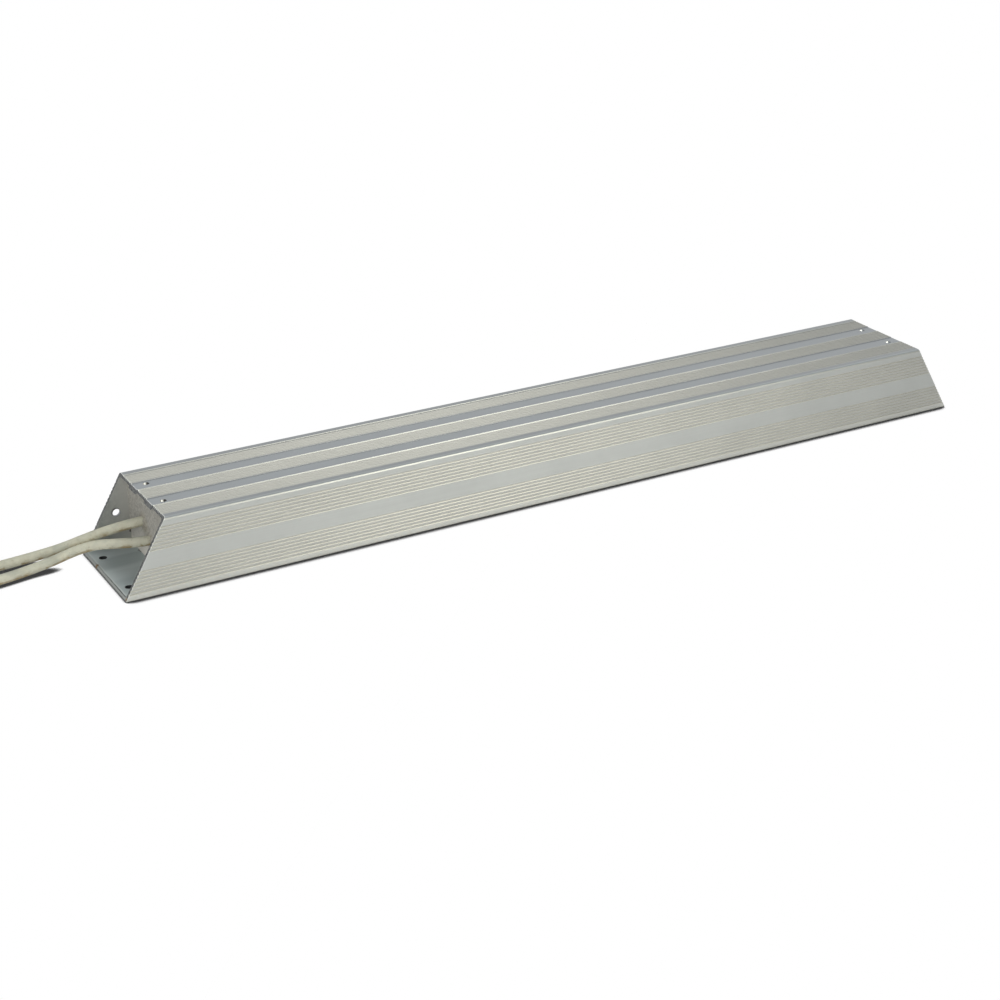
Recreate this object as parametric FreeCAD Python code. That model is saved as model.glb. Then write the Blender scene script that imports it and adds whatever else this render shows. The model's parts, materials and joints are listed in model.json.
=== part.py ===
import FreeCAD, Part
import math
import os

# Aluminium-housed wire-wound power resistor, millimetres.
# The origin is the middle of the base. +X runs along the housing to its plain end, the
# leads leave at the -X end, +Y is the wall with the earth hole, and +Z is up.
# The housing is one ribbed hollow extrusion. Both its ends are sawn at a slant, so that the
# base reaches further out than the top and its four fixing holes can be reached from above.

V = FreeCAD.Vector

# Driving dimensions of the extrusion
base_length = 800.0
width = 100.0
height = 63.0
end_angle = 30.0
side_wall = 3.0
top_wall = 2.0
base_wall = 2.5
top_corner_radius = 1.5
base_corner_radius = 1.0
cavity_corner_radius = 2.0

# The two plain channels sunk into the top, each backed by a thicker wall inside
channel_centre = 17.0
channel_width = 14.2
channel_depth = 0.5
channel_side_lean = 0.3
boss_width = 17.5
boss_drop = 1.5
boss_side_lean = 1.0

# The fine lengthwise ribs, and the plain strips beside them
rib_pitch = 2.87
groove_mouth = 1.5
groove_floor = 0.5
groove_depth = 0.6
land_margin = 1.9
edge_strip = 6.0
side_foot = 4.6
side_shoulder = 6.8
plain_band = 13.9

# Holes in the housing
base_hole_diameter = 6.5
base_hole_inset = 10.0
base_hole_spacing = 60.0
top_hole_diameter = 5.0
top_hole_inset = 10.6
top_hole_spacing = 38.0
earth_hole_diameter = 6.5
earth_hole_inset = 29.7

# Cement seals, the boards that dam them, and the mica lining
seal_setback = 3.9
seal_thickness = 12.0
board_clearance = 0.2
board_thickness = 2.0
liner_thickness = 0.8
liner_corner_gap = 0.4

# Ceramic formers and the windings on them, side by side in the cavity
former_end_gap = 10.7
former_height = 26.0
former_chamfer = 3.0
winding_side_gap = 7.0
winding_middle_gap = 9.6
ribbon_width = 10.0
ribbon_thickness = 1.2
ribbon_pitch = 20.0
crossover_width = 6.0
tail_length = 4.0
card_thickness = 2.0
card_inset = 2.0
card_side_gap = 2.0
card_clearance = 0.3

# Clamps and straps that join the windings to each other and to the leads
clamp_width = 8.0
clamp_thickness = 1.2
clamp_inset = 12.0
strap_width = 6.0
strap_thickness = 1.0
link_width = 6.0
crimp_wall = 1.0
crimp_length = 14.0

# Leads: their diameter, ends and routes
lead_diameter = 8.0
rear_exit_y = 12.5
rear_exit_above_axis = 3.85
front_exit_y = -0.8
front_exit_below_axis = 8.0
bend_share = 0.45
floor_lift = 0.05

# Ring terminals on the leads and the sleeves over their joints
barrel_step = 0.2
ring_diameter = 16.0
ring_hole_diameter = 8.4
ring_reach = 13.0
palm_thickness = 1.8
neck_overlap = 1.0
sleeve_wall = 0.7
sleeve_clearance = 0.1
sleeve_on_lead = 9.0
sleeve_on_barrel = 10.0
sleeve_to_neck = 2.0

# How far a cutting shape runs past what it cuts, at holes and at the saw cuts
cut_margin = 1.0
saw_margin = 5.0

# Derived places
half_length = base_length / 2
half_width = width / 2
slant_tan = math.tan(math.radians(end_angle))
top_half_length = half_length - height * slant_tan
cavity_half_width = half_width - side_wall
cavity_top = height - top_wall
boss_bottom = cavity_top - boss_drop
seal_face = top_half_length - seal_setback
seal_back = seal_face - seal_thickness
board_back = seal_back - board_thickness
liner_inset = cavity_corner_radius + liner_corner_gap
fill_bottom = base_wall + liner_thickness
fill_top = boss_bottom - liner_thickness
fill_half_width = cavity_half_width - liner_thickness
winding_width = fill_half_width - winding_side_gap - winding_middle_gap / 2
former_width = winding_width - 2 * ribbon_thickness
former_spacing = winding_width + winding_middle_gap
former_axis_z = (fill_bottom + fill_top) / 2
rear_exit_z = former_axis_z + rear_exit_above_axis
front_exit_z = former_axis_z - front_exit_below_axis
former_half_length = board_back - crimp_length - strap_thickness - former_end_gap
former_top = former_axis_z + former_height / 2
clamp_edge = former_half_length - clamp_inset - clamp_width
turn_count = math.floor((2 * (clamp_edge - tail_length) - ribbon_width) / ribbon_pitch) + 1
wound_end = ((turn_count - 1) * ribbon_pitch + ribbon_width) / 2
clamp_top = former_top + clamp_thickness
clamp_bottom = former_axis_z - former_height / 2 - clamp_thickness
lead_radius = lead_diameter / 2
barrel_radius = lead_radius - barrel_step
barrel_length = sleeve_on_barrel + sleeve_to_neck + neck_overlap
outer_land = (channel_centre + channel_width / 2, half_width - edge_strip)
centre_land = (channel_width / 2 - channel_centre, channel_centre - channel_width / 2)
side_band_width = (height - side_shoulder - side_foot - plain_band) / 2
lower_band = (side_foot, side_foot + side_band_width)
upper_band = (lower_band[1] + plain_band, lower_band[1] + plain_band + side_band_width)
earth_hole_height = (lower_band[1] + upper_band[0]) / 2


def box(low, high):
    """A box from its lowest corner to its highest."""
    size = V(*high) - V(*low)
    return Part.makeBox(size.x, size.y, size.z, V(*low))


def rod(start, direction, radius, length):
    """A round bar that starts at a point and runs along a direction."""
    return Part.makeCylinder(radius, length, V(*start), V(*direction))


def prism(points, run):
    """A closed polygon of points, extruded along a vector."""
    wire = Part.makePolygon([V(*p) for p in points + points[:1]])
    return Part.Face(wire).extrude(run)


def fused(shapes):
    """One clean solid out of several that touch or overlap."""
    return shapes[0].multiFuse(shapes[1:]).removeSplitter()


def mirrored_outline(half):
    """Closes half an outline, given from bottom to top at +Y, over to the -Y side."""
    return half + [(-y, z) for y, z in reversed(half)]


def rounded_face(outline, radii, x):
    """A face across X whose named corners are rounded by arcs.

    radii gives a radius for some of the outline's corners, by their place in the list.
    """
    count = len(outline)
    edges = []
    last = None
    first = None
    for i in range(count):
        corner = V(x, *outline[i])
        radius = radii.get(i, 0.0)
        if radius:
            back = (V(x, *outline[i - 1]) - corner).normalize()
            ahead = (V(x, *outline[(i + 1) % count]) - corner).normalize()
            half_turn = back.getAngle(ahead) / 2
            reach = radius / math.tan(half_turn)
            middle = (back + ahead).normalize()
            entry = corner + back * reach
            leave = corner + ahead * reach
            touch = corner + middle * (radius / math.sin(half_turn) - radius)
        else:
            entry = corner
            leave = corner
        if last is None:
            first = entry
        else:
            edges.append(Part.makeLine(last, entry))
        if radius:
            edges.append(Part.Arc(entry, touch, leave).toShape())
        last = leave
    edges.append(Part.makeLine(last, first))
    return Part.Face(Part.Wire(edges))


def groove_profile(centre):
    """Four (place, depth) pairs across one groove, in rising order of place."""
    mouth = groove_mouth / 2
    floor = groove_floor / 2
    return [
        (centre - mouth, 0.0),
        (centre - floor, groove_depth),
        (centre + floor, groove_depth),
        (centre + mouth, 0.0),
    ]


def groove_centres(band, margin=0.0):
    """As many evenly pitched grooves as a band takes between its margins, about its middle."""
    room = band[1] - band[0] - 2 * margin - groove_mouth
    count = math.floor(room / rib_pitch) + 1
    first = (band[0] + band[1] - rib_pitch * (count - 1)) / 2
    return [first + rib_pitch * i for i in range(count)]


def side_points():
    """The +Y side from bottom to top, with both ribbed bands."""
    points = []
    for band in (lower_band, upper_band):
        for centre in groove_centres(band):
            points += [(half_width - deep, z) for z, deep in groove_profile(centre)]
    return points


def top_points():
    """The top from the +Y corner to the middle: outer land, channel, half the centre land."""
    points = []
    for centre in reversed(groove_centres(outer_land, land_margin)):
        points += [(y, height - deep) for y, deep in reversed(groove_profile(centre))]
    outer = outer_land[0]
    inner = centre_land[1]
    floor = height - channel_depth
    points += [
        (outer, height),
        (outer - channel_side_lean, floor),
        (inner + channel_side_lean, floor),
        (inner, height),
    ]
    for centre in reversed(groove_centres(centre_land, land_margin)):
        for y, deep in reversed(groove_profile(centre)):
            if y > 0:
                points.append((y, height - deep))
    return points


def housing_section():
    """The extrusion's outer face across X, without its cavity."""
    half = [(half_width, 0.0)] + side_points()
    top_corner = len(half)
    half += [(half_width, height)] + top_points()
    last = 2 * len(half) - 1
    radii = {
        0: base_corner_radius,
        top_corner: top_corner_radius,
        last - top_corner: top_corner_radius,
        last: base_corner_radius,
    }
    return rounded_face(mirrored_outline(half), radii, -half_length)


def cavity_face(x, clearance=0.0):
    """The cavity's face across X, drawn in by a clearance for what is fitted into it."""
    side = cavity_half_width - clearance
    top = cavity_top - clearance
    boss_outer = channel_centre + boss_width / 2 + clearance
    boss_inner = channel_centre - boss_width / 2 - clearance
    half = [
        (side, base_wall + clearance),
        (side, top),
        (boss_outer, top),
        (boss_outer - boss_side_lean, boss_bottom - clearance),
        (boss_inner + boss_side_lean, boss_bottom - clearance),
        (boss_inner, top),
    ]
    last = 2 * len(half) - 1
    radii = {i: cavity_corner_radius for i in (0, 1, last - 1, last)}
    return rounded_face(mirrored_outline(half), radii, x)


def between_saw_cuts():
    """Everything between the two slanted planes that the ends are sawn along."""
    low = half_length + saw_margin * slant_tan
    high = top_half_length - saw_margin * slant_tan
    front = -half_width - saw_margin
    corners = [
        (-low, front, -saw_margin),
        (low, front, -saw_margin),
        (high, front, height + saw_margin),
        (-high, front, height + saw_margin),
    ]
    return prism(corners, V(0, 1, 0) * (width + 2 * saw_margin))


def upright_hole(x, y, diameter, low, high):
    """The drill that makes an upright hole through metal from low to high."""
    reach = high - low + 2 * cut_margin
    return rod((x, y, low - cut_margin), (0, 0, 1), diameter / 2, reach)


def housing():
    """The sawn and drilled extrusion, one piece of aluminium."""
    shell = housing_section().extrude(V(base_length, 0, 0))
    hollow_start = -half_length - cut_margin
    tools = [cavity_face(hollow_start).extrude(V(-2 * hollow_start, 0, 0))]
    for end in (-1, 1):
        for side in (-1, 1):
            base_x = end * (half_length - base_hole_inset)
            base_y = side * base_hole_spacing / 2
            tools.append(upright_hole(base_x, base_y, base_hole_diameter, 0.0, base_wall))
            top_x = end * (top_half_length - top_hole_inset)
            top_y = side * top_hole_spacing / 2
            tools.append(upright_hole(top_x, top_y, top_hole_diameter, boss_bottom, height))
    earth_x = -half_length + earth_hole_inset
    earth_start = (earth_x, cavity_half_width - cut_margin, earth_hole_height)
    earth_reach = side_wall + 2 * cut_margin
    tools.append(rod(earth_start, (0, 1, 0), earth_hole_diameter / 2, earth_reach))
    return shell.common(between_saw_cuts()).cut(Part.makeCompound(tools))


def near_seal(leads):
    """Cement at the lead end, cast round the leads."""
    return cavity_face(-seal_face).extrude(V(seal_thickness, 0, 0)).cut(leads)


def far_seal():
    """Cast cement at the plain end."""
    return cavity_face(seal_back).extrude(V(seal_thickness, 0, 0))


def near_board(leads):
    """Insulating board that dams the near seal while it is poured."""
    return cavity_face(-seal_back, board_clearance).extrude(V(board_thickness, 0, 0)).cut(leads)


def far_board():
    """Insulating board behind the far seal."""
    return cavity_face(board_back, board_clearance).extrude(V(board_thickness, 0, 0))


def liners():
    """Four mica sheets that keep the fill off the metal."""
    y_in = cavity_half_width - liner_inset
    z_low = base_wall + liner_inset
    z_high = boss_bottom - liner_inset
    ends = (-board_back, board_back)
    sheets = {
        "base_mica": box((ends[0], -y_in, base_wall), (ends[1], y_in, fill_bottom)),
        "top_mica": box((ends[0], -y_in, fill_top), (ends[1], y_in, boss_bottom)),
    }
    for name, side in (("front_mica", -1), ("rear_mica", 1)):
        near = side * cavity_half_width
        far = side * fill_half_width
        low_y, high_y = sorted((near, far))
        sheets[name] = box((ends[0], low_y, z_low), (ends[1], high_y, z_high))
    return sheets


def former(side):
    """A ceramic bar with chamfered edges. side is -1 for the front one and 1 for the rear."""
    y_mid = side * former_spacing / 2
    half_y = former_width / 2
    half_z = former_height / 2
    chamfer = former_chamfer
    section = [
        (half_y - chamfer, -half_z),
        (half_y, -half_z + chamfer),
        (half_y, half_z - chamfer),
        (half_y - chamfer, half_z),
        (-half_y + chamfer, half_z),
        (-half_y, half_z - chamfer),
        (-half_y, -half_z + chamfer),
        (-half_y + chamfer, -half_z),
    ]
    points = [(-former_half_length, y_mid + y, former_axis_z + z) for y, z in section]
    return prism(points, V(2 * former_half_length, 0, 0))


def block_round(side, x, length, grown):
    """A block about a former's axis, larger than its section all round by grown."""
    y_mid = side * former_spacing / 2
    half_y = former_width / 2 + grown
    half_z = former_height / 2 + grown
    return box(
        (x, y_mid - half_y, former_axis_z - half_z),
        (x + length, y_mid + half_y, former_axis_z + half_z),
    )


def band_round(side, x, length, thickness):
    """A rectangular band that lies on a former's flat faces."""
    inside = block_round(side, x - cut_margin, length + 2 * cut_margin, 0.0)
    return block_round(side, x, length, thickness).cut(inside)


def ribbon_on_top(side, start, end):
    """A straight piece of ribbon along a former's top."""
    y_mid = side * former_spacing / 2
    return box(
        (start, y_mid - crossover_width / 2, former_top),
        (end, y_mid + crossover_width / 2, former_top + ribbon_thickness),
    )


def winding(side):
    """Resistance ribbon: flat turns round a former, each stepping over to the next on top.

    At both ends a plain tail runs on along the top to the clamp.
    """
    turn = band_round(side, -wound_end, ribbon_width, ribbon_thickness)
    pieces = [
        ribbon_on_top(side, -clamp_edge, -wound_end),
        ribbon_on_top(side, wound_end, clamp_edge),
    ]
    for i in range(turn_count):
        pieces.append(turn.translated(V(i * ribbon_pitch, 0, 0)))
        if i > 0:
            next_turn = -wound_end + i * ribbon_pitch
            last_turn = next_turn - ribbon_pitch + ribbon_width
            pieces.append(ribbon_on_top(side, last_turn, next_turn))
    return fused(pieces)


def clamp(side, end):
    """A metal band round the bare end of a former, pressed on the ribbon's tail."""
    x = clamp_edge if end > 0 else -clamp_edge - clamp_width
    return band_round(side, x, clamp_width, clamp_thickness)


def card(x, winding_thickness, straps=()):
    """An insulating card that carries both formers, clear of the windings and the straps."""
    half_y = fill_half_width - card_side_gap
    plate = box((x, -half_y, fill_bottom), (x + card_thickness, half_y, fill_top))
    start = x - cut_margin
    length = card_thickness + 2 * cut_margin
    for side in (-1, 1):
        plate = plate.cut(block_round(side, start, length, winding_thickness + card_clearance))
    for strap in straps:
        near = strap.common(plate).BoundBox
        slot = box(
            (start, near.YMin - card_clearance, near.ZMin - card_clearance),
            (start + length, near.YMax + card_clearance, near.ZMax + card_clearance),
        )
        plate = plate.cut(slot)
    return plate


def crimp(y, z):
    """The metal sleeve that joins a lead to its strap, just behind the near board."""
    return rod((-board_back, y, z), (1, 0, 0), lead_radius + crimp_wall, crimp_length)


def rear_strap():
    """From the rear crimp up and along the top of the rear former to its clamp."""
    x = -board_back + crimp_length
    low_y = rear_exit_y - strap_width / 2
    high_y = rear_exit_y + strap_width / 2
    low_z = rear_exit_z - strap_width / 2
    top = clamp_top + strap_thickness
    upright = box((x, low_y, low_z), (x + strap_thickness, high_y, top))
    run = box((x, low_y, clamp_top), (-clamp_edge, high_y, top))
    return fused([upright, run])


def front_strap():
    """From the front crimp across and down, then under the front former to its clamp."""
    x = -board_back + crimp_length
    half_strap = strap_width / 2
    y_mid = -former_spacing / 2
    low_y = y_mid - half_strap
    high_y = y_mid + half_strap
    low = clamp_bottom - strap_thickness
    across = box(
        (x, low_y, front_exit_z - half_strap),
        (x + strap_thickness, front_exit_y + half_strap, front_exit_z + half_strap),
    )
    upright = box((x, low_y, low), (x + strap_thickness, high_y, front_exit_z))
    run = box((x, low_y, low), (-clamp_edge, high_y, clamp_bottom))
    return fused([across, upright, run])


def link_strap():
    """The bar that joins both windings at the plain end, lying on their clamps."""
    clamp_mid = clamp_edge + clamp_width / 2
    reach = former_spacing / 2 + strap_width
    return box(
        (clamp_mid - link_width / 2, -reach, clamp_top),
        (clamp_mid + link_width / 2, reach, clamp_top + strap_thickness),
    )


def sand_fill(inner_pieces):
    """Tamped quartz sand between the boards, round everything that lies in it."""
    block = box(
        (-board_back, -fill_half_width, fill_bottom),
        (board_back, fill_half_width, fill_top),
    )
    hollows = list(inner_pieces)
    for side in (-1, 1):
        hollows.append(
            block_round(side, -former_half_length, 2 * former_half_length, ribbon_thickness)
        )
    return block.cut(Part.makeCompound(hollows))


# Lead routes: points chosen by hand, each as (distance out from the near seal, y, z).
# Each lead drops from its exit, passes over the base's sawn edge and runs out along the floor
# to its terminal. The first point is where the lead enters its crimp.
crimp_out = board_back - seal_face
floor_z = lead_radius + floor_lift
sleeve_z = lead_radius + sleeve_clearance + sleeve_wall + floor_lift

rear_steps = [
    (crimp_out, rear_exit_y, rear_exit_z),
    (6.0, rear_exit_y, rear_exit_z),
    (25.2, 19.6, 30.2),
    (42.3, 30.8, 22.0),
    (58.3, 41.0, 13.5),
    (74.8, 50.0, 7.5),
    (95.3, 54.2, 4.3),
    (120.3, 52.6, floor_z),
    (168.3, 46.5, floor_z),
    (219.3, 44.8, sleeve_z),
    (268.3, 51.0, sleeve_z),
]

front_steps = [
    (crimp_out, front_exit_y, front_exit_z),
    (6.1, front_exit_y, front_exit_z),
    (24.6, 7.4, 22.7),
    (40.0, 18.9, 20.6),
    (54.2, 28.3, 14.3),
    (69.3, 33.8, 7.5),
    (87.3, 34.4, 4.2),
    (108.3, 29.6, floor_z),
    (154.3, 24.5, floor_z),
    (206.3, 15.5, floor_z),
    (238.3, 6.5, sleeve_z),
    (268.3, -6.0, sleeve_z),
]


def route_of(steps):
    """The points of a route in the part's own frame."""
    return [(-seal_face - out, y, z) for out, y, z in steps]


def lead_path(name, route):
    """Straight runs joined by tangent arcs, each as large as its two runs allow."""
    points = [V(*p) for p in route]
    edges = []
    radii = []
    last = points[0]
    for before, corner, after in zip(points, points[1:], points[2:]):
        back = before - corner
        ahead = after - corner
        shorter = min(back.Length, ahead.Length)
        turn = math.pi - back.getAngle(ahead)
        reach = bend_share * shorter
        radius = reach / math.tan(turn / 2)
        radii.append(radius)
        back.normalize()
        ahead.normalize()
        middle = (back + ahead).normalize()
        entry = corner + back * reach
        leave = corner + ahead * reach
        half_angle = back.getAngle(ahead) / 2
        touch = corner + middle * (radius / math.sin(half_angle) - radius)
        edges.append(Part.makeLine(last, entry))
        edges.append(Part.Arc(entry, touch, leave).toShape())
        last = leave
    edges.append(Part.makeLine(last, points[-1]))
    print(name, "bend radii", [round(r, 1) for r in radii])
    return Part.Wire(edges)


def lead(name, route):
    """A plain round tube along its route, closed at both ends."""
    path = lead_path(name, route)
    along = (V(*route[1]) - V(*route[0])).normalize()
    ring = Part.Wire(Part.makeCircle(lead_radius, V(*route[0]), along))
    tube = path.makePipeShell([ring], True, False)
    expected = math.pi * lead_radius**2 * path.Length
    print(name, "length", round(path.Length, 1), "volume share", round(tube.Volume / expected, 5))
    return tube


def at_lead_end(shape, route):
    """Turns a shape that was made along +X, and carries it to the end of a lead."""
    end = V(*route[-1])
    run = end - V(*route[-2])
    turn = math.degrees(math.atan2(run.y, run.x))
    placed = shape.copy()
    placed.rotate(V(0, 0, 0), V(0, 0, 1), turn)
    placed.translate(end)
    return placed


def ring_terminal():
    """A crimped ring terminal along +X: its barrel starts at the origin, its hole is upright."""
    barrel = rod((0, 0, 0), (1, 0, 0), barrel_radius, barrel_length)
    palm_bottom = -barrel_radius
    neck_start = barrel_length - neck_overlap
    ring_x = barrel_length + ring_reach
    ring_radius = ring_diameter / 2
    ring = rod((ring_x, 0, palm_bottom), (0, 0, 1), ring_radius, palm_thickness)
    # The neck widens from the barrel to the ring, and starts clear of the sleeve
    neck_corners = [
        (neck_start, -barrel_radius, palm_bottom),
        (ring_x, -ring_radius, palm_bottom),
        (ring_x, ring_radius, palm_bottom),
        (neck_start, barrel_radius, palm_bottom),
    ]
    body = fused([barrel, prism(neck_corners, V(0, 0, palm_thickness)), ring])
    palm_top = palm_bottom + palm_thickness
    return body.cut(upright_hole(ring_x, 0, ring_hole_diameter, palm_bottom, palm_top))


def joint_sleeve():
    """The shrunk sleeve over the end of a lead and the barrel of its terminal."""
    inner = lead_radius + sleeve_clearance
    length = sleeve_on_lead + sleeve_on_barrel
    bore_start = (-sleeve_on_lead - cut_margin, 0, 0)
    outside = rod((-sleeve_on_lead, 0, 0), (1, 0, 0), inner + sleeve_wall, length)
    return outside.cut(rod(bore_start, (1, 0, 0), inner, length + 2 * cut_margin))


def build():
    """Every piece by name."""
    routes = {"rear": route_of(rear_steps), "front": route_of(front_steps)}
    leads = {word: lead(word + "_lead", route) for word, route in routes.items()}
    both_leads = Part.makeCompound(list(leads.values()))
    pieces = {
        "housing": housing(),
        "near_seal": near_seal(both_leads),
        "far_seal": far_seal(),
        "near_board": near_board(both_leads),
        "far_board": far_board(),
    }
    pieces.update(liners())
    inner = {}
    for word, side in (("front", -1), ("rear", 1)):
        pieces[word + "_former"] = former(side)
        pieces[word + "_winding"] = winding(side)
        inner[word + "_near_clamp"] = clamp(side, -1)
        inner[word + "_far_clamp"] = clamp(side, 1)
    inner["rear_crimp"] = crimp(rear_exit_y, rear_exit_z)
    inner["front_crimp"] = crimp(front_exit_y, front_exit_z)
    inner["rear_strap"] = rear_strap()
    inner["front_strap"] = front_strap()
    inner["link_strap"] = link_strap()
    card_end = former_half_length - card_inset
    near_straps = (inner["rear_strap"], inner["front_strap"])
    inner["near_card"] = card(-card_end, 0.0, near_straps)
    inner["middle_card"] = card(-card_thickness / 2, ribbon_thickness)
    inner["far_card"] = card(card_end - card_thickness, 0.0)
    pieces.update(inner)
    pieces["sand_fill"] = sand_fill(inner.values())
    for word, route in routes.items():
        pieces[word + "_lead"] = leads[word]
        pieces[word + "_terminal"] = at_lead_end(ring_terminal(), route)
        pieces[word + "_sleeve"] = at_lead_end(joint_sleeve(), route)
    return pieces


os.makedirs("parts", exist_ok=True)
for name, shape in build().items():
    print(name, "solids", len(shape.Solids), "valid", shape.isValid(), "volume", round(shape.Volume, 1))
    shape.exportStep("parts/" + name + ".step")
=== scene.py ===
import json
import math

import bmesh
import bpy
from mathutils import Matrix, Vector


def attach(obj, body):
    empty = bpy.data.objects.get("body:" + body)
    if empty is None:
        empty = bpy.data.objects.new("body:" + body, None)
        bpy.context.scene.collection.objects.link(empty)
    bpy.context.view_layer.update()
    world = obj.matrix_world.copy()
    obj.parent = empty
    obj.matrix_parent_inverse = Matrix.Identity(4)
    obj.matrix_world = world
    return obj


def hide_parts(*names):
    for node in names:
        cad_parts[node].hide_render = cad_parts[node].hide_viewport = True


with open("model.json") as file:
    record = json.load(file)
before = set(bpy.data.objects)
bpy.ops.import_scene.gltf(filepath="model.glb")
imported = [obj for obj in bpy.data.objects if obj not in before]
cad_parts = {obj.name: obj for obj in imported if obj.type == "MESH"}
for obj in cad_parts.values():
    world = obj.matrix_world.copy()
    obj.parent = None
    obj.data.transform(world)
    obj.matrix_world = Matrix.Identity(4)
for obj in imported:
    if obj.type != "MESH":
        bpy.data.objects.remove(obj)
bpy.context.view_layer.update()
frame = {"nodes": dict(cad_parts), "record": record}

# All sizes are in metres unless a name says otherwise. The camera stands where the photograph
# was taken from, with its place and axes solved from the housing's straight edges.
camera_place = Vector((-0.820119, -1.396389, 0.697362))
camera_right = Vector((0.87265742, -0.48823129, -0.00996172))
camera_up = Vector((0.20660081, 0.35063773, 0.91343817))
camera_ahead = Vector((0.44247614, 0.79917669, -0.4068556))
camera_lens_mm = 73.38
camera_sensor_mm = 36.0
camera_clip_end = 100.0

# The housing's own places, as the source has them
half_length = 0.400
half_width = 0.050
height = 0.063
side_wall = 0.003
base_wall = 0.0025
corner_radius = 0.0015
saw_slope = math.tan(math.radians(30.0))
channel_centre = 0.0170
channel_half = 0.0071
channel_depth = 0.0005
land_inner = 0.0099
land_start = 0.0241
land_end = 0.0440
side_foot = 0.0046
side_band = 0.01885
plain_band = 0.0139
plain_start = side_foot + side_band
plain_end = plain_start + plain_band
shoulder_start = plain_end + side_band

# Its holes
top_hole_x = 0.353027
top_hole_y = 0.0190
base_hole_x = 0.390
base_hole_y = 0.030
earth_hole = (-0.3703, 0.0485, 0.0304)
ends_and_sides = [(end, side) for end in (-1.0, 1.0) for side in (-1.0, 1.0)]

# Painted zones. The rear land is painted a little narrower than it is built.
rear_land_end = 0.0434
lands = [(-land_end, -land_start), (-land_inner, land_inner), (land_start, rear_land_end)]
hair = 0.0001
fade = 0.0002
wide_fade = 0.0003
line_fade = 0.00015
rear_lip_width = 0.0018
front_lip_width = 0.0015
upper_from = height - 0.00105
upper_full = height - 0.00085
corner_from = height - 0.00215
outer_full = half_width - 0.0013
inside_top = height - 0.0012
# Reach from the cavity's end over which its base is painted lighter, as painted light
base_light_reach = (0.388, 0.398)
pale_rim = (0.39665, 0.39745)
dark_rim = (0.3976, 0.3981)
rim_wander = 0.0008
deep_reach = 0.020
burr_width = 0.0010
cut_edge_low = 0.0011

# Reach of the paint in the bores
top_bore_radius = 0.0046
top_bore_depth = 0.0018
earth_bore_radius = 0.0039
base_bore_radius = 0.0046

# The housing's colours, linear
top_land = (0.462, 0.460, 0.420)
# Painted shade: the top ribs' flanks are darker, evening out the stronger lamp light on them
top_flank_painted_shade = (0.420, 0.420, 0.385)
# Painted reflection: the smooth channels, edge strips and rounded corners are painted slate,
# standing in for the dark surroundings they mirror
slate_reflection = (0.278, 0.300, 0.314)
# Painted shade: the channels darken towards the far end, where less lamp light falls
far_slate_painted_shade = tuple(0.92 * c for c in slate_reflection)
edge_slate_reflection = (0.245, 0.262, 0.270)
rounding_slate_reflection = (0.345, 0.375, 0.382)
# Painted shade on the channels' small risers
riser_painted_shade = (0.215, 0.225, 0.232)
lip = (0.305, 0.314, 0.300)
corner_glint = (0.315, 0.324, 0.304)
side_plain = (0.470, 0.482, 0.460)
# Painted light: the foot is lighter, offsetting the shade near the floor
foot_painted_light = (0.570, 0.575, 0.535)
rib_land = (0.450, 0.453, 0.424)
# The side grooves' lit flanks are painted darker as painted shade and their shaded flanks lighter as
# painted light, evening out the lamps
rib_lit_painted_shade = (0.345, 0.342, 0.302)
rib_shade_painted_light = (0.700, 0.690, 0.620)
inner_base_dark = (0.375, 0.428, 0.436)
inner_base_pale = (0.480, 0.535, 0.540)
# Painted light on the cavity's base near its open end
inner_base_painted_light = (0.600, 0.665, 0.660)
rim_pale = (0.560, 0.600, 0.590)
rim_dark = (0.080, 0.088, 0.088)
inner_wall_dark = (0.370, 0.382, 0.365)
inner_wall_pale = (0.490, 0.498, 0.470)
inner_wall_deep = (0.540, 0.540, 0.510)
burr = (0.760, 0.780, 0.750)
cut_dark = (0.042, 0.046, 0.048)
cut_pale = (0.145, 0.150, 0.146)
cut_edge = (0.330, 0.345, 0.330)
# Painted light and shade in the top bores: a near bore's lit half is cream with a painted highlight
# and its other half painted shade; a far bore has a painted highlight
near_bore_cream = (0.420, 0.390, 0.320)
near_bore_painted_shade = (0.090, 0.094, 0.100)
near_bore_painted_highlight = (0.520, 0.535, 0.525)
far_bore_painted_highlight = (0.700, 0.710, 0.690)
earth_bore_grey = (0.250, 0.258, 0.262)
# Painted shade: the base holes' bores are painted nearly black
base_bore_painted_shade = (0.040, 0.042, 0.045)

# Stains, dark spots and a painted shadow on the housing: centre, radius, strength and colour
marks = [
    ((-0.3988, 0.0193, 0.0018), 0.0026, 0.95, (0.170, 0.090, 0.020)),
    ((-0.3988, -0.0485, 0.0018), 0.0018, 0.8, (0.180, 0.110, 0.040)),
    # A dark crescent at the earth hole's upper rim
    ((-0.3712, 0.0470, 0.0315), 0.0042, 0.9, (0.050, 0.052, 0.054)),
    # Painted shadow in the corner where the cement meets the base
    ((-0.3600, 0.0290, 0.0025), 0.0018, 0.8, (0.060, 0.066, 0.060)),
    ((-0.3600, 0.0260, 0.0025), 0.0015, 0.7, (0.060, 0.066, 0.060)),
    # A dark spot on the rear wall beside the seal
    ((-0.3600, 0.0470, 0.0125), 0.0016, 0.8, (0.060, 0.058, 0.042)),
]

# The cement's colours
cement_dark = (0.290, 0.280, 0.252)
cement_light = (0.465, 0.448, 0.410)
# Painted light: the cement is lighter low down, offsetting the leads' shade on it
cement_low_painted_light = (0.850, 0.815, 0.750)
cement_patch = (0.350, 0.326, 0.290)
cement_ring = (0.270, 0.240, 0.165)
cement_pit = (0.20, 0.19, 0.16)

# The lead jackets' colours
jacket_dark = (0.545, 0.536, 0.432)
jacket_light = (0.690, 0.676, 0.545)
jacket_grey = (0.400, 0.415, 0.350)
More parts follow.
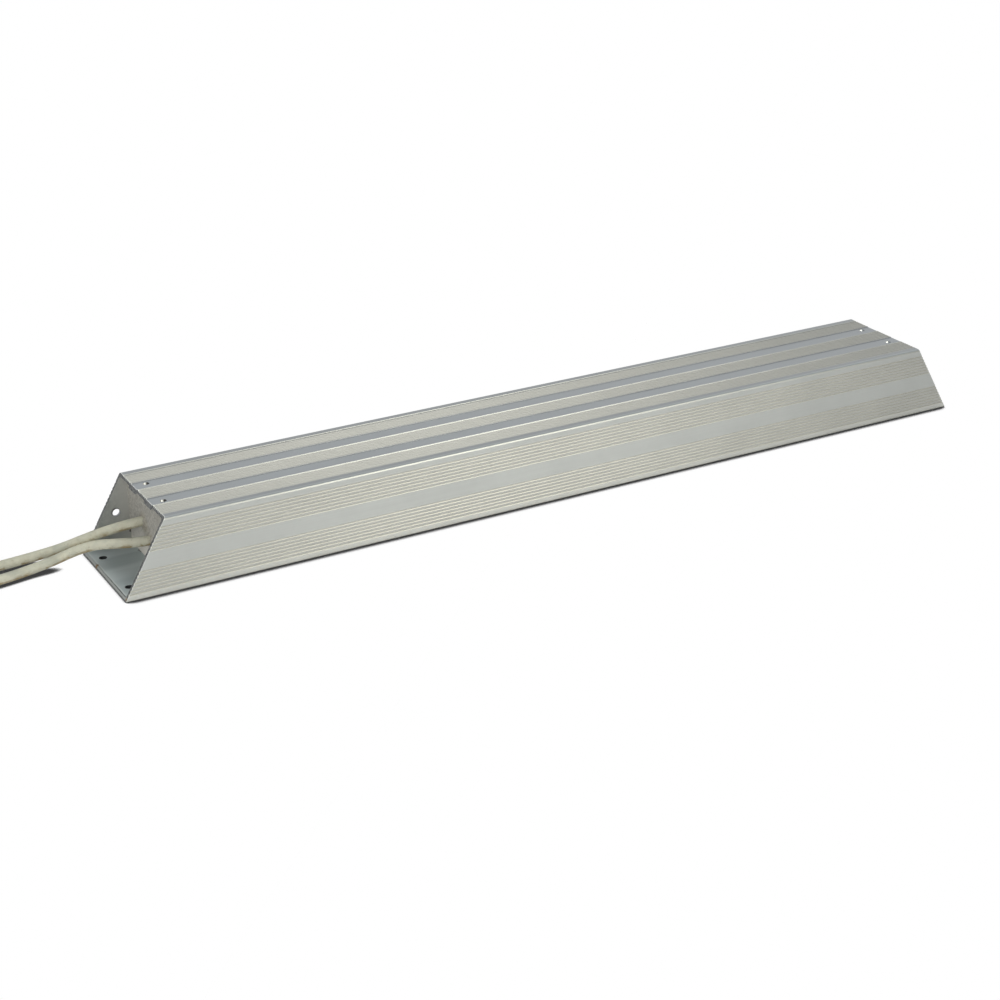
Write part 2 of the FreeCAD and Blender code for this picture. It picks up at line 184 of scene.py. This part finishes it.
# Browner tones towards the underside and along the lower edge
jacket_underside_brown = (0.330, 0.250, 0.115)
jacket_lower_edge_brown = (0.290, 0.215, 0.100)
jacket_fleck = (0.300, 0.250, 0.150)

# Dull pieces: light and dark colour, mottle scale, roughness and relief
minerals = {
    "fibre_board": ((0.42, 0.36, 0.26), (0.34, 0.28, 0.2), 700.0, 0.7, 0.0001),
    "mica": ((0.50, 0.45, 0.36), (0.40, 0.36, 0.28), 250.0, 0.35, 0.00005),
    "ceramic": ((0.78, 0.75, 0.68), (0.70, 0.66, 0.58), 120.0, 0.6, 0.00005),
    "quartz_sand": ((0.72, 0.66, 0.54), (0.58, 0.52, 0.4), 2200.0, 0.9, 0.0003),
    "shrunk_sleeve": ((0.020, 0.020, 0.021), (0.032, 0.032, 0.034), 900.0, 0.45, 0.00004),
}

# Metal pieces: colour and roughness
metals = {
    "resistance_ribbon": ((0.40, 0.38, 0.36), 0.40),
    "plated_steel": ((0.62, 0.62, 0.63), 0.28),
    "plated_copper": ((0.74, 0.73, 0.70), 0.22),
}

# The leads: their diameter, where they leave the cement, and the heights at which they lie
lead_diameter = 0.008
seal_face = 0.359727
seal_depth = 0.014
rear_exit = (0.0125, 0.03485)
front_exit = (-0.0008, 0.0230)
floor_z = 0.00405
sleeve_z = 0.00485

# Their routes, the points of the source: distance out from the seal, y and z
rear_steps = [
    (-seal_depth, *rear_exit),
    (0.0060, *rear_exit),
    (0.0252, 0.0196, 0.0302),
    (0.0423, 0.0308, 0.0220),
    (0.0583, 0.0410, 0.0135),
    (0.0748, 0.0500, 0.0075),
    (0.0953, 0.0542, 0.0043),
    (0.1203, 0.0526, floor_z),
    (0.1683, 0.0465, floor_z),
    (0.2193, 0.0448, sleeve_z),
    (0.2683, 0.0510, sleeve_z),
]
front_steps = [
    (-seal_depth, *front_exit),
    (0.0061, *front_exit),
    (0.0246, 0.0074, 0.0227),
    (0.0400, 0.0189, 0.0206),
    (0.0542, 0.0283, 0.0143),
    (0.0693, 0.0338, 0.0075),
    (0.0873, 0.0344, 0.0042),
    (0.1083, 0.0296, floor_z),
    (0.1543, 0.0245, floor_z),
    (0.2063, 0.0155, floor_z),
    (0.2383, 0.0065, sleeve_z),
    (0.2683, -0.0060, sleeve_z),
]

# The cement rims round the leads: the profile as distance out from the seal and radius
collar_profile = [
    (-0.0004, 0.0074),
    (0.0002, 0.0064),
    (0.0006, 0.0054),
    (0.0011, 0.0047),
    (0.0015, 0.0042),
    (0.0017, 0.0039),
]
collar_inner = 0.0039
collar_spread = 0.0055
collar_points = 40

# The floor: its reach, how far it lies below the part, and how near a piece darkens it
floor_half = 12.0
floor_drop = 0.0002
contact_reach = 0.010
contact_less_by_leads = 0.0030
leads_side = (-0.405, -0.398)

# The room's light and the lamps: place, target, size, power, colour and the light they give
room_colour = (0.93, 0.97, 1.0)
room_strength = 0.40
soft = (1.0, 0.99, 0.95)
warm = (1.0, 0.97, 0.86)
lamps = {
    "key": ((-0.13, -0.06, 0.50), (-0.13, 0.0, 0.0), (0.2, 0.3), 1.1, soft, "diffuse"),
    "front": ((-0.01, -0.58, 0.12), (-0.01, 0.0, 0.03), (0.4, 0.3), 1.35, soft, "diffuse"),
    "left": ((-1.10, -0.50, 0.28), (-0.42, 0.0, 0.02), (0.4, 0.4), 3.0, soft, "diffuse"),
    "glint": ((0.48, -0.65, 1.23), (-0.10, -0.05, 0.03), (0.60, 0.6), 11.5, warm, "glossy"),
}


def linked(name, data):
    """A new object in the scene."""
    made = bpy.data.objects.new(name, data)
    bpy.context.scene.collection.objects.link(made)
    return made


def camera():
    """The camera that took the photograph."""
    data = bpy.data.cameras.new("camera")
    data.sensor_width = camera_sensor_mm
    data.lens = camera_lens_mm
    data.clip_end = camera_clip_end
    made = linked("camera", data)
    turn = Matrix((camera_right, camera_up, -camera_ahead)).transposed()
    made.matrix_world = Matrix.Translation(camera_place) @ turn.to_4x4()
    bpy.context.scene.camera = made


camera()


class Nodes:
    """A small helper that adds nodes to one empty tree and links them."""

    def __init__(self, tree):
        self.tree = tree
        self.tree.nodes.clear()

    def add(self, kind, **settings):
        node = self.tree.nodes.new(kind)
        for key, value in settings.items():
            setattr(node, key, value)
        return node

    def plug(self, socket, value):
        """Links a socket to another one, or writes a constant on it."""
        if isinstance(value, bpy.types.NodeSocket):
            self.tree.links.new(value, socket)
        elif socket.type == "RGBA" and len(value) == 3:
            socket.default_value = (*value, 1.0)
        else:
            socket.default_value = value

    def math(self, operation, a, b=0.0):
        node = self.add("ShaderNodeMath", operation=operation)
        self.plug(node.inputs[0], a)
        self.plug(node.inputs[1], b)
        return node.outputs[0]

    def plus(self, a, b):
        return self.math("ADD", a, b)

    def minus(self, a, b):
        return self.math("SUBTRACT", a, b)

    def times(self, first, *others):
        """The product of all values."""
        for value in others:
            first = self.math("MULTIPLY", first, value)
        return first

    def any_of(self, first, *others):
        """The largest of several masks."""
        for mask in others:
            first = self.math("MAXIMUM", first, mask)
        return first

    def outside(self, mask):
        return self.minus(1.0, mask)

    def seen(self):
        """1 for rays that show a thing, straight, in a mirror or through glass."""
        rays = self.add("ShaderNodeLightPath").outputs
        return self.any_of(rays["Is Camera Ray"], rays["Is Glossy Ray"], rays["Is Transmission Ray"])

    def shader_mix(self, share, a, b):
        node = self.add("ShaderNodeMixShader")
        self.plug(node.inputs[0], share)
        self.plug(node.inputs[1], a)
        self.plug(node.inputs[2], b)
        return node.outputs[0]


class Graph(Nodes):
    """The node tree of one material, with patterns by place on the object."""

    def __init__(self, name):
        self.material = bpy.data.materials.new(name)
        self.material.use_nodes = True
        super().__init__(self.material.node_tree)
        self.output = self.add("ShaderNodeOutputMaterial")
        coords = self.add("ShaderNodeTexCoord")
        self.place = coords.outputs["Object"]
        self.x, self.y, self.z = self.split(self.place)
        self.facing_x, self.facing_y, self.facing_z = self.split(coords.outputs["Normal"])

    def split(self, vector):
        node = self.add("ShaderNodeSeparateXYZ")
        self.plug(node.inputs[0], vector)
        return node.outputs[0], node.outputs[1], node.outputs[2]

    def vector_math(self, operation, a, b):
        node = self.add("ShaderNodeVectorMath", operation=operation)
        self.plug(node.inputs[0], a)
        self.plug(node.inputs[1], b)
        return node.outputs

    def scaled(self, vector, factor):
        node = self.add("ShaderNodeVectorMath", operation="SCALE")
        self.plug(node.inputs[0], vector)
        self.plug(node.inputs["Scale"], factor)
        return node.outputs[0]

    def ramp(self, value, low, high, to_low=0.0, to_high=1.0):
        """value from low to high, mapped smoothly to the two outputs."""
        node = self.add("ShaderNodeMapRange", interpolation_type="SMOOTHSTEP")
        self.plug(node.inputs["Value"], value)
        self.plug(node.inputs["From Min"], low)
        self.plug(node.inputs["From Max"], high)
        self.plug(node.inputs["To Min"], to_low)
        self.plug(node.inputs["To Max"], to_high)
        return node.outputs["Result"]

    def fall(self, value, low, high):
        """1 up to low and 0 from high on."""
        return self.ramp(value, low, high, 1.0, 0.0)

    def band(self, value, low, high, soft_edge):
        """1 where value lies between low and high, falling off over soft_edge on both sides."""
        rise = self.ramp(value, low - soft_edge, low)
        return self.times(rise, self.fall(value, high, high + soft_edge))

    def noise(self, scale, detail=3.0, roughness=0.55, stretch=(1.0, 1.0, 1.0)):
        """Noise in metres, stretched along the axes whose factor is small."""
        mapping = self.add("ShaderNodeMapping")
        self.plug(mapping.inputs["Vector"], self.place)
        self.plug(mapping.inputs["Scale"], stretch)
        node = self.add("ShaderNodeTexNoise")
        self.plug(node.inputs["Vector"], mapping.outputs[0])
        self.plug(node.inputs["Scale"], scale)
        self.plug(node.inputs["Detail"], detail)
        self.plug(node.inputs["Roughness"], roughness)
        return node.outputs["Fac"]

    def spot(self, centre, radius, wobble=0.0, solid=0.45):
        """1 at a place and out to its solid share, 0 from radius on, with an uneven rim."""
        distance = self.vector_math("DISTANCE", self.place, centre)["Value"]
        if wobble:
            uneven = self.minus(self.noise(1.5 / radius), 0.5)
            distance = self.plus(distance, self.times(uneven, wobble))
        return self.fall(distance, radius * solid, radius)

    def mix(self, share, a, b):
        node = self.add("ShaderNodeMix", data_type="RGBA")
        self.plug(node.inputs["Factor"], share)
        self.plug(node.inputs[6], a)
        self.plug(node.inputs[7], b)
        return node.outputs[2]

    def bump(self, relief, strength):
        node = self.add("ShaderNodeBump")
        self.plug(node.inputs["Strength"], strength)
        self.plug(node.inputs["Distance"], 1.0)
        self.plug(node.inputs["Height"], relief)
        return node.outputs["Normal"]

    def tilted(self, normal, mask, lean):
        """A normal that leans over where the mask is 1, as on a rounded bead."""
        total = self.vector_math("ADD", normal, self.scaled(lean, mask))[0]
        unit = self.add("ShaderNodeVectorMath", operation="NORMALIZE")
        self.plug(unit.inputs[0], total)
        return unit.outputs[0]

    def surface(self, **inputs):
        """Ends the tree in one principled surface. Underscores stand for spaces."""
        node = self.add("ShaderNodeBsdfPrincipled")
        for key, value in inputs.items():
            self.plug(node.inputs[key.replace("_", " ")], value)
        self.plug(self.output.inputs["Surface"], node.outputs[0])
        return self.material


class Zones:
    """Masks of the housing's zones, each 1 inside its zone and 0 outside."""

    def __init__(self, g):
        side_y = g.math("ABSOLUTE", g.y)
        self.reach = g.math("ABSOLUTE", g.x)

        # The top's channels, the strips along both edges and the lands' rear and front lips
        channel_ends = (channel_centre - channel_half, channel_centre + channel_half)
        self.channel = g.band(side_y, *channel_ends, line_fade)
        both_strips = g.ramp(side_y, land_end - hair, land_end + hair)
        rear_strip = g.ramp(g.y, rear_land_end - hair, rear_land_end + hair)
        self.strip = g.any_of(both_strips, rear_strip)
        # The channels' risers are painted dark, as painted shade
        self.riser_painted_shade = g.times(g.ramp(g.math("ABSOLUTE", g.facing_y), 0.5, 0.8), self.channel)
        rear_lips = [g.band(g.y, end - rear_lip_width, end - hair, fade) for _, end in lands]
        front_lips = [
            g.band(g.y, start + hair, start + front_lip_width, wide_fade) for start, _ in lands
        ]
        self.rear_lips = g.any_of(*rear_lips)
        self.front_lips = g.any_of(*front_lips)

        # The sides, and each groove's lower flank, which is lit, and upper one, which isn't
        plain = g.band(g.z, plain_start, plain_end, fade)
        shoulder = g.ramp(g.z, shoulder_start, shoulder_start + fade)
        self.plain = g.any_of(plain, shoulder)
        self.foot = g.fall(g.z, side_foot - fade, side_foot)
        self.lit_flank = g.ramp(g.facing_z, 0.15, 0.60)
        self.shaded_flank = g.fall(g.facing_z, -0.60, -0.15)

        # The rounded top corners and the bright line below them
        self.upper = g.ramp(g.z, upper_from, upper_full)
        outer = g.ramp(side_y, half_width - corner_radius, outer_full)
        self.corner = g.times(g.band(g.z, corner_from, upper_from, line_fade), outer)
        self.rounding = g.times(self.upper, outer)

        # The cavity's walls and the saw cuts
        inside_y = g.fall(side_y, half_width - side_wall * 0.6, half_width - side_wall * 0.5)
        inside_z = g.band(g.z, base_wall * 0.5, inside_top, hair)
        self.inside = g.times(inside_y, inside_z)
        self.sawn = g.ramp(g.math("ABSOLUTE", g.facing_x), 0.30, 0.55)


def top_colour(g, zones):
    """Pale ribbed lands with bright lips and flanks darkened as painted shade, slate channels
    darkened towards the far end and at their risers as painted shade, and edge strips; the slate is
    a painted dark reflection.
    """
    # Flanks that face the lamps are painted darker, as painted shade
    land = g.mix(g.ramp(g.facing_z, 0.70, 0.95), top_flank_painted_shade, top_land)
    # The channels are painted darker towards the far end, as painted shade
    channel = g.mix(g.ramp(g.x, 0.05, 0.38), slate_reflection, far_slate_painted_shade)
    top = g.mix(zones.channel, land, channel)
    top = g.mix(zones.riser_painted_shade, top, riser_painted_shade)
    top = g.mix(zones.strip, top, edge_slate_reflection)
    top = g.mix(zones.rear_lips, top, lip)
    return g.mix(g.times(zones.front_lips, 0.25), top, lip)


def side_colour(g, zones):
    """Ribbed bands between plain ones; the groove flanks are painted darker where lit and lighter
    where shaded, as painted shade and light, and the foot lighter as painted light.
    """
    side = g.mix(zones.plain, rib_land, side_plain)
    # The foot is painted lighter, as painted light
    side = g.mix(zones.foot, side, foot_painted_light)
    # The lit flank is painted darker and the shaded one lighter, as painted shade and light
    side = g.mix(zones.lit_flank, side, rib_lit_painted_shade)
    return g.mix(zones.shaded_flank, side, rib_shade_painted_light)


def inside_colour(g, zones):
    """The cavity: a bluish streaked base painted lighter near its open end as painted light, with a
    rim at its end, and scuffed grey walls.
    """
    streaks = g.ramp(g.noise(48.0, 2.0, 0.5, (0.15, 1.0, 1.0)), 0.36, 0.64)
    base = g.mix(streaks, inner_base_dark, inner_base_pale)
    base = g.mix(g.ramp(zones.reach, *base_light_reach, 0.0, 0.30), base, inner_base_painted_light)
    wander = g.times(g.minus(g.noise(160.0, 2.0, 0.5), 0.5), rim_wander)
    rim = g.plus(zones.reach, wander)
    base = g.mix(g.band(rim, *pale_rim, wide_fade), base, rim_pale)
    front_share = g.ramp(g.y, -0.02, 0.03, 1.0, 0.25)
    base = g.mix(g.times(g.ramp(rim, *dark_rim), front_share), base, rim_dark)
    scuff = g.ramp(g.noise(180.0, 4.0, 0.7), 0.35, 0.70)
    wall = g.mix(scuff, inner_wall_dark, inner_wall_pale)
    wall = g.mix(g.ramp(zones.reach, seal_face + deep_reach, seal_face), wall, inner_wall_deep)
    return g.mix(g.ramp(g.facing_z, 0.4, 0.8), wall, base)


def burr_share(g, zones):
    """A worn bright line on the outside along the lead end's saw cut."""
    from_saw = g.minus(half_length, g.times(g.z, saw_slope))
    from_saw = g.minus(from_saw, zones.reach)
    near = g.ramp(from_saw, burr_width / 2, burr_width, 0.55, 0.0)
    worn = g.ramp(g.noise(300.0, 2.0, 0.6), 0.35, 0.55, 0.3, 1.0)
    return g.times(near, g.outside(zones.inside), worn, g.fall(g.x, -0.1, 0.1))


def cut_colour(g):
    """A dull dark saw cut. The base's has a paler inner edge."""
    teeth = g.noise(420.0, 3.0, 0.7)
    cut = g.mix(g.ramp(teeth, 0.36, 0.64), cut_dark, cut_pale)
    base_edge = g.band(g.z, cut_edge_low, base_wall * 1.2, wide_fade)
    return g.mix(g.times(base_edge, 0.9), cut, cut_edge)


def top_bore(g, end, side):
    """Mask, colour and shine of one hole in a channel. A near one is painted cream with a white
    painted highlight on its lit half and dark painted shade on the rest; a far one has a white
    painted highlight on slate.
    """
    x = end * top_hole_x
    rim = height - channel_depth
    bore = g.spot((x, side * top_hole_y, height - top_bore_depth), top_bore_radius, solid=0.70)
    bore = g.times(bore, g.fall(g.z, rim - wide_fade, rim - hair))
    if end > 0:
        bright = g.band(g.x, x - 0.0012, x + 0.0010, fade)
        return bore, g.mix(bright, slate_reflection, far_bore_painted_highlight), bore
    shade_x = x + 0.0009
    dull = g.mix(g.ramp(g.x, shade_x, shade_x + fade), near_bore_cream, near_bore_painted_shade)
    bright = g.band(g.x, x - 0.0009, x + 0.0005, fade)
    shine = g.times(bore, g.fall(g.x, shade_x, shade_x + fade))
    return bore, g.mix(bright, dull, near_bore_painted_highlight), shine


def drilled(g, colour):
    """The colour with the bores painted in: painted light and shade in the top bores, grey in the
    earth bore and painted shade in the base bores; and the masks of the top bores that shine.
    """
    shines = []
    for end, side in ends_and_sides:
        bore, paint, shine = top_bore(g, end, side)
        colour = g.mix(bore, colour, paint)
        shines.append(shine)
    colour = g.mix(g.spot(earth_hole, earth_bore_radius, solid=0.93), colour, earth_bore_grey)
    upright = g.fall(g.facing_z, 0.3, 0.5)
    for end, side in ends_and_sides:
        centre = (end * base_hole_x, side * base_hole_y, base_wall / 2)
        bore = g.times(g.spot(centre, base_bore_radius, solid=0.75), upright)
        # The base bores are painted nearly black, as painted shade
        colour = g.mix(bore, colour, base_bore_painted_shade)
    return colour, shines


def aluminium():
    """Satin extruded aluminium: pale ribbed lands, slate plain strips and bright rib edges."""
    g = Graph("extruded_aluminium")
    zones = Zones(g)
    die_lines = g.noise(900.0, 4.0, 0.65, (0.004, 1.0, 1.0))
    cloud = g.noise(22.0, 4.0, 0.6)
    grain = g.noise(2600.0, 2.0, 0.5)

    colour = g.mix(zones.upper, side_colour(g, zones), top_colour(g, zones))
    colour = g.mix(zones.corner, colour, corner_glint)
    # The rounded corners are painted slate as a painted dark reflection
    colour = g.mix(zones.rounding, colour, rounding_slate_reflection)
    colour = g.mix(zones.inside, colour, inside_colour(g, zones))
    colour = g.mix(burr_share(g, zones), colour, burr)
    colour = g.mix(zones.sawn, colour, cut_colour(g))
    colour, bores = drilled(g, colour)
    # Stains, dark spots and a painted corner shadow
    for centre, radius, share, darkening in marks:
        colour = g.mix(g.times(g.spot(centre, radius, radius * 0.6), share), colour, darkening)
    tint = g.ramp(cloud, 0.30, 0.70, 0.97, 1.03)
    streak = g.ramp(die_lines, 0.30, 0.70, 0.98, 1.02)
    colour = g.scaled(colour, g.times(tint, streak))

    # The smooth strips and channels, painted slate as a painted dark reflection, mirror the room,
    # and the rounded edges and rib flanks glint
    polished = g.times(g.any_of(zones.channel, zones.strip), zones.upper)
    beads = g.times(zones.rear_lips, zones.upper)
    flanks = g.times(zones.lit_flank, g.outside(zones.upper))
    glossy = g.any_of(g.times(beads, 0.90), g.times(zones.corner, 0.68), g.times(flanks, 0.68))
    glossy = g.times(glossy, g.outside(g.any_of(zones.inside, zones.sawn)))
    rough = g.minus(g.ramp(cloud, 0.30, 0.70, 0.46, 0.50), g.times(polished, 0.16))
    rough = g.minus(rough, g.times(glossy, 0.12))
    satin = g.ramp(zones.upper, 0.0, 1.0, 0.30, 0.06)
    relief = g.plus(g.times(die_lines, 0.00002), g.times(grain, 0.000006))
    normal = g.tilted(g.bump(relief, 0.5), beads, (0.0, -0.85, 0.0))
    normal = g.tilted(normal, zones.corner, (0.0, 0.0, 1.0))
    normal = g.tilted(normal, zones.rounding, (0.0, 0.0, 2.0))
    normal = g.tilted(normal, g.any_of(*bores), (0.0, 0.0, 1.2))
    return g.surface(
        Base_Color=colour,
        Metallic=g.any_of(polished, satin, g.times(glossy, 0.80), *bores),
        Roughness=rough,
        Normal=normal,
    )


def cement():
    """Cast cement, grey-brown with fine sand, pinholes and browner rings round the leads."""
    g = Graph("cement")
    patch = g.noise(70.0, 3.0, 0.6)
    coarse = g.noise(560.0, 4.0, 0.70)
    fine = g.noise(1500.0, 4.0, 0.6)
    colour = g.mix(g.ramp(coarse, 0.38, 0.62), cement_dark, cement_light)
    # The cement is painted lighter low down, as painted light
    colour = g.mix(g.ramp(g.z, 0.012, 0.030, 0.75, 0.0), colour, cement_low_painted_light)
    colour = g.mix(g.ramp(patch, 0.40, 0.70, 0.0, 0.35), colour, cement_patch)
    for exit_y, exit_z in (rear_exit, front_exit):
        ring = g.spot((-seal_face, exit_y, exit_z - 0.002), 0.0115, 0.006)
        colour = g.mix(g.times(ring, 0.4), colour, cement_ring)
    pits = g.fall(fine, 0.34, 0.42)
    colour = g.mix(g.times(pits, 0.30), colour, cement_pit)
    relief = g.plus(g.times(coarse, 0.0005), g.times(fine, 0.0002))
    return g.surface(Base_Color=colour, Roughness=0.88, Normal=g.bump(relief, 0.8))


def jacket():
    """The leads' cream jacket: fine weave, grey handling marks, and brownish blotches and a brown
    line, browner towards the underside.
    """
    g = Graph("lead_jacket")
    cloud = g.noise(45.0, 4.0, 0.6)
    blotch = g.noise(120.0, 3.0, 0.7)
    speck = g.noise(420.0, 3.0, 0.6)
    weave = g.noise(3500.0, 2.0, 0.5, (0.35, 1.0, 1.0))
    colour = g.mix(g.ramp(cloud, 0.3, 0.7), jacket_dark, jacket_light)
    grey = g.ramp(g.noise(75.0, 3.0, 0.6, (0.4, 1.0, 1.0)), 0.48, 0.68)
    colour = g.mix(g.times(grey, 0.55), colour, jacket_grey)
    # Browner and darker towards the underside and along the lower edge
    low_side = g.ramp(g.facing_z, -0.6, 0.4, 1.0, 0.12)
    darkening = g.times(g.ramp(blotch, 0.46, 0.62), low_side)
    colour = g.mix(g.times(darkening, 0.8), colour, jacket_underside_brown)
    lower_edge_brown = g.band(g.facing_z, -0.75, -0.35, 0.20)
    lower_edge_brown = g.times(lower_edge_brown, g.ramp(g.noise(60.0, 3.0, 0.6), 0.38, 0.55))
    colour = g.mix(g.times(lower_edge_brown, 0.65), colour, jacket_lower_edge_brown)
    flecks = g.times(g.ramp(speck, 0.60, 0.70), 0.28)
    colour = g.mix(flecks, colour, jacket_fleck)
    relief = g.plus(g.times(weave, 0.0002), g.times(speck, 0.0003))
    return g.surface(Base_Color=colour, Roughness=0.75, Normal=g.bump(relief, 0.7))


def plated(name, colour, rough):
    """Tinned or plated metal with a light grain."""
    g = Graph(name)
    cloud = g.noise(300.0, 4.0, 0.6)
    dull = tuple(c * 0.82 for c in colour)
    return g.surface(
        Base_Color=g.mix(g.ramp(cloud, 0.3, 0.7), colour, dull),
        Metallic=1.0,
        Roughness=g.ramp(cloud, 0.3, 0.7, rough, rough + 0.15),
        Normal=g.bump(g.times(g.noise(2500.0), 0.00002), 0.5),
    )


def mineral(name, light, dark, scale, rough, depth):
    """A dull mottled solid: board, mica, ceramic, sand or rubber."""
    g = Graph(name)
    mottle = g.noise(scale, 4.0, 0.6)
    return g.surface(
        Base_Color=g.mix(g.ramp(mottle, 0.3, 0.7), light, dark),
        Roughness=rough,
        Normal=g.bump(g.times(mottle, depth), 0.7),
    )


finishes = {
    "extruded_aluminium": aluminium(),
    "cement": cement(),
    "lead_jacket": jacket(),
}
for name, look in minerals.items():
    finishes[name] = mineral(name, *look)
for name, look in metals.items():
    finishes[name] = plated(name, *look)
for part in frame["record"]["subparts"]:
    node = frame["nodes"][part["node"]]
    node.data.materials.clear()
    node.data.materials.append(finishes[part["material_slot"]])


def lead(name, steps):
    """A round lead on one smooth line; the part's own lead is hidden."""
    curve = bpy.data.curves.new(name + "_line", "CURVE")
    curve.dimensions = "3D"
    curve.bevel_depth = lead_diameter / 2
    curve.bevel_resolution = 7
    curve.resolution_u = 10
    curve.use_fill_caps = True
    spline = curve.splines.new("NURBS")
    spline.points.add(len(steps) - 1)
    for point, (out, y, z) in zip(spline.points, steps):
        point.co = (-seal_face - out, y, z, 1.0)
    spline.order_u = 3
    spline.use_endpoint_u = True
    curve.materials.append(finishes["lead_jacket"])
    piece = linked(name + "_run", curve)
    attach(piece, "root")
    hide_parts(name + "_lead")


lead("rear", rear_steps)
lead("front", front_steps)


def collar_ring(mesh, exit_y, exit_z, out, radius, bulge):
    """One uneven ring of points round a lead. The innermost ring is round."""
    ring = []
    share = (radius - collar_inner) / collar_spread
    for i in range(collar_points):
        turn = 2 * math.pi * i / collar_points
        uneven = bulge * (math.sin(2 * turn + 1.1) + 0.6 * math.sin(5 * turn + 0.4))
        reach = radius * (1 + uneven * share)
        y = exit_y + reach * math.cos(turn)
        z = exit_z + reach * math.sin(turn)
        ring.append(mesh.verts.new((-seal_face - out * (1 + 2 * uneven), y, z)))
    return ring


def collar(name, exit_y, exit_z, bulge):
    """Cement drawn up round a lead where it leaves the seal, uneven as it set."""
    mesh = bmesh.new()
    rings = []
    for out, radius in collar_profile:
        rings.append(collar_ring(mesh, exit_y, exit_z, out, radius, bulge))
    for inner, outer in zip(rings, rings[1:]):
        for i in range(collar_points):
            j = (i + 1) % collar_points
            face = mesh.faces.new((inner[i], inner[j], outer[j], outer[i]))
            face.smooth = True
    bmesh.ops.recalc_face_normals(mesh, faces=mesh.faces)
    data = bpy.data.meshes.new(name)
    mesh.to_mesh(data)
    mesh.free()
    data.materials.append(finishes["cement"])
    piece = linked(name, data)
    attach(piece, "root")


collar("rear_collar", *rear_exit, 0.16)
collar("front_collar", *front_exit, 0.12)


def floor():
    """A white floor that keeps the object's contact shadow."""
    g = Graph("floor")
    contact = g.add("ShaderNodeAmbientOcclusion", samples=16)
    less = g.times(g.fall(g.x, *leads_side), contact_less_by_leads)
    g.plug(contact.inputs["Distance"], g.minus(contact_reach, less))
    glow = g.add("ShaderNodeEmission")
    g.plug(glow.inputs["Strength"], g.ramp(contact.outputs["AO"], 0.66, 0.86, 0.05, 1.0))
    matte = g.add("ShaderNodeBsdfDiffuse")
    g.plug(matte.inputs["Color"], (0.80, 0.80, 0.80))
    both = g.shader_mix(g.seen(), matte.outputs[0], glow.outputs[0])
    g.plug(g.output.inputs["Surface"], both)
    signs = ((-1, -1), (1, -1), (1, 1), (-1, 1))
    corners = [(x * floor_half, y * floor_half, -floor_drop) for x, y in signs]
    mesh = bpy.data.meshes.new("floor")
    mesh.from_pydata(corners, [], [(0, 1, 2, 3)])
    mesh.materials.append(g.material)
    linked("floor", mesh)


floor()


def room():
    """An even cool light on all pieces, shown as plain white in mirrors and behind them."""
    world = bpy.data.worlds.new("studio")
    world.use_nodes = True
    bpy.context.scene.world = world
    n = Nodes(world.node_tree)
    lit = n.add("ShaderNodeBackground")
    n.plug(lit.inputs["Color"], room_colour)
    n.plug(lit.inputs["Strength"], room_strength)
    white = n.add("ShaderNodeBackground")
    n.plug(white.inputs["Color"], (1.0, 1.0, 1.0))
    n.plug(white.inputs["Strength"], 1.0)
    output = n.add("ShaderNodeOutputWorld")
    both = n.shader_mix(n.seen(), lit.outputs[0], white.outputs[0])
    n.plug(output.inputs["Surface"], both)


def lamp(name, place, target, size, power, colour, lights_up):
    """A soft rectangular lamp that faces a target, for diffuse or for glossy surfaces."""
    data = bpy.data.lights.new(name, "AREA")
    data.shape = "RECTANGLE"
    data.size, data.size_y = size
    data.energy = power
    data.color = colour
    made = linked(name, data)
    made.location = place
    aim = Vector(target) - Vector(place)
    made.rotation_mode = "QUATERNION"
    made.rotation_quaternion = aim.to_track_quat("-Z", "Y")
    made.visible_camera = False
    made.visible_diffuse = lights_up == "diffuse"
    made.visible_glossy = lights_up == "glossy"


room()
for name, setup in lamps.items():
    lamp(name, *setup)

bpy.context.scene.view_settings.view_transform = "Standard"
